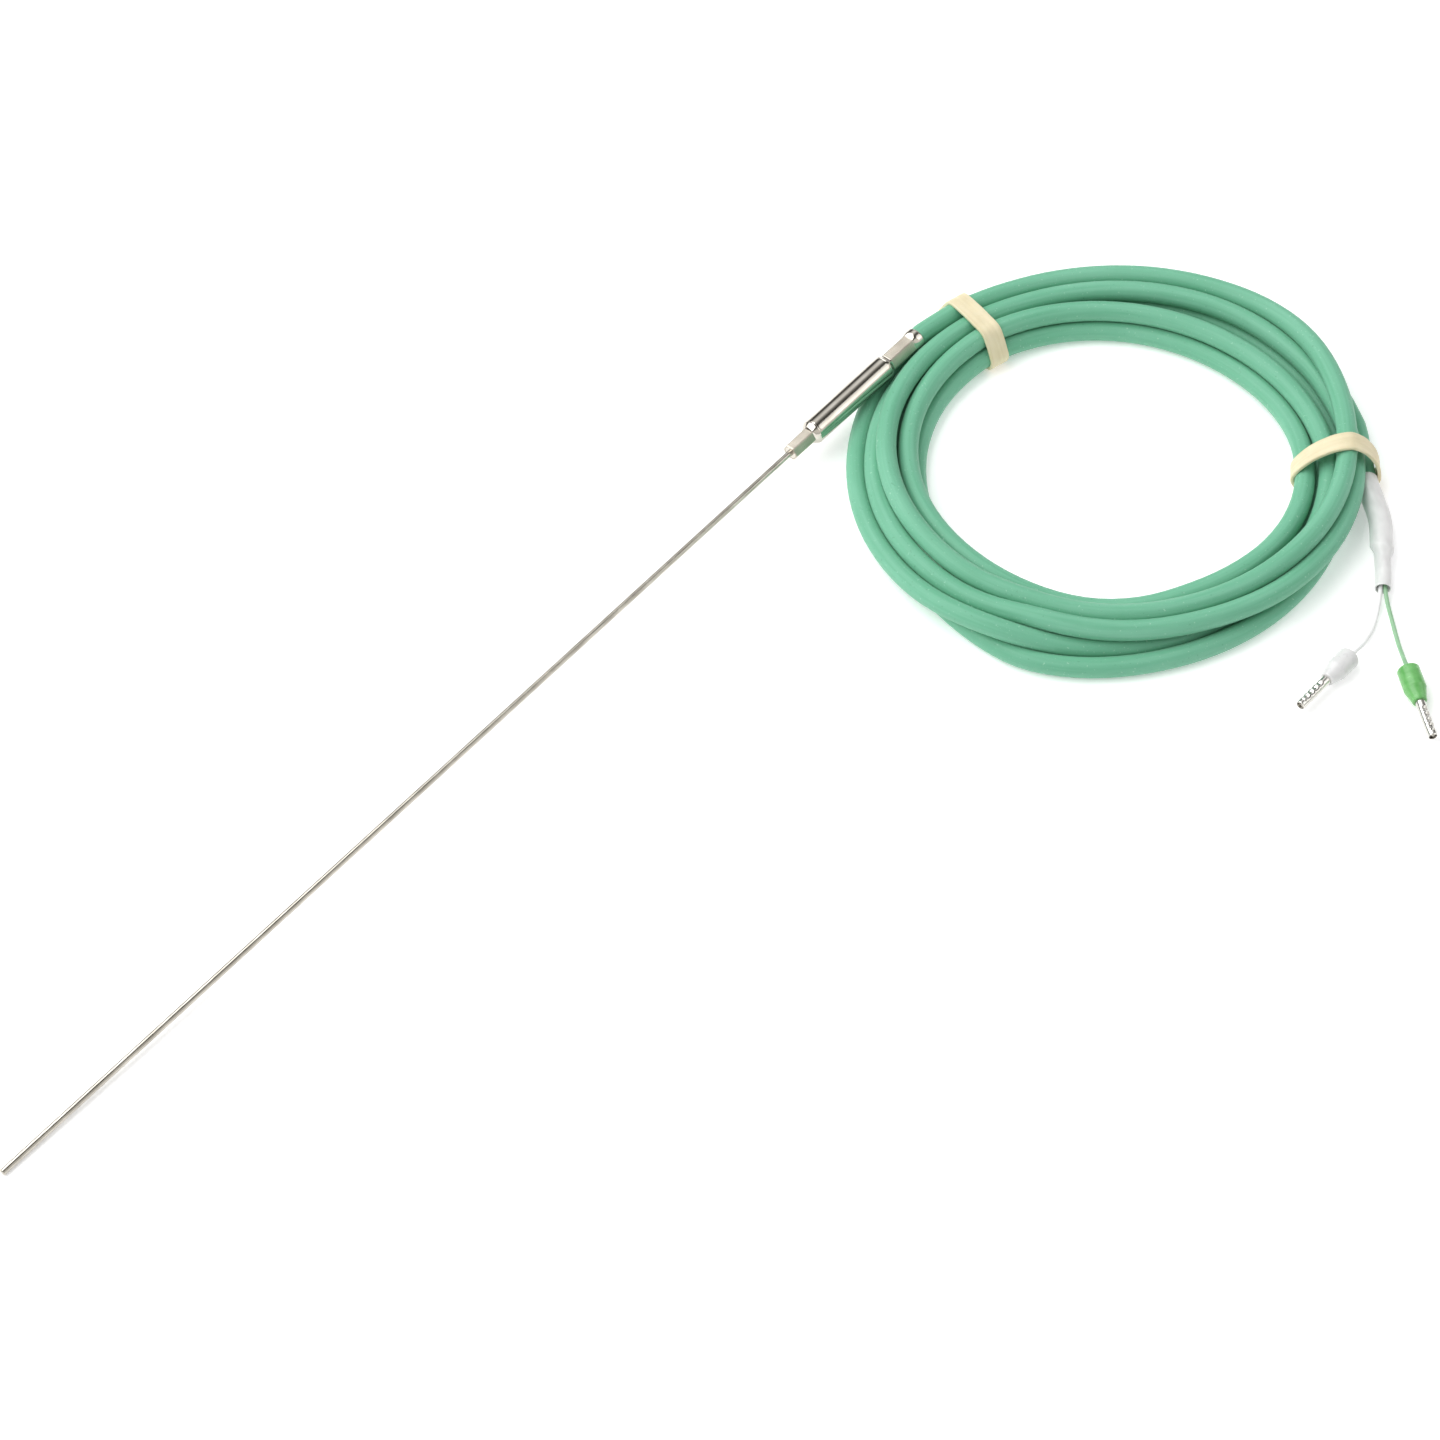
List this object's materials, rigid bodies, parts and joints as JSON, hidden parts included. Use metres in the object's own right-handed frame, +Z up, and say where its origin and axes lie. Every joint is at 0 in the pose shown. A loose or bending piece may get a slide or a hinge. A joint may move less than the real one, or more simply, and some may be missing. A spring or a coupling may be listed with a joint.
{
  "type": "thermocouple",
  "caption": "Thin metal-sheathed thermocouple probe with a crimped transition sleeve, a coiled green connecting cable held by rubber bands, and insulated end sleeves.",
  "frame": {"origin": "on the table, under the middle of the rigid probe (sheath and transition sleeve)", "axes": "+X along the sheath from its measuring tip to the transition sleeve, +Z up; the coil of cable lies on the -Y side"},
  "size_m": [0.3584, 0.1632, 0.0116],
  "materials": {
    "sheath_steel": "bright drawn stainless steel",
    "sleeve_nickel": "nickel plated, rough on the crimps",
    "magnesia": "packed white powder",
    "positive_alloy": "nickel-chromium wire",
    "negative_alloy": "nickel-aluminium wire",
    "epoxy": "cast epoxy resin",
    "splice_tube_white": "thin insulating tube",
    "cable_green": "matte silicone rubber",
    "core_green": "thin core insulation",
    "core_white": "thin core insulation",
    "shrink_white": "satin shrunk tubing",
    "collar_green": "glossy moulded polypropylene",
    "collar_white": "satin moulded polypropylene",
    "tinned_copper": "bright tin over copper",
    "band_rubber": "natural rubber"
  },
  "bodies": {
    "root": {"sheath_tube": "sheath_steel", "tip_weld_plug": "sheath_steel", "magnesia_tip_fill": "magnesia", "magnesia_core": "magnesia", "hot_junction": "positive_alloy", "positive_thermoelement": "positive_alloy", "negative_thermoelement": "negative_alloy", "cold_end_seal": "epoxy", "sheath_bush": "sleeve_nickel", "transition_sleeve": "sleeve_nickel", "potting_compound": "epoxy", "positive_splice": "positive_alloy", "negative_splice": "negative_alloy", "positive_splice_tube": "splice_tube_white", "negative_splice_tube": "splice_tube_white", "positive_conductor": "positive_alloy", "negative_conductor": "negative_alloy", "positive_core_in_sleeve": "core_green", "negative_core_in_sleeve": "core_white", "cable_end_in_sleeve": "cable_green", "cable_lead": "cable_green", "cable_coil": "cable_green", "cable_tail": "cable_green", "heat_shrink": "shrink_white", "positive_core": "core_green", "negative_core": "core_white", "positive_collar": "collar_green", "negative_collar": "collar_white", "positive_pin": "tinned_copper", "negative_pin": "tinned_copper", "positive_strands": "tinned_copper", "negative_strands": "tinned_copper", "rubber_band_1": "band_rubber", "rubber_band_2": "band_rubber"}
  },
  "joints": []
}
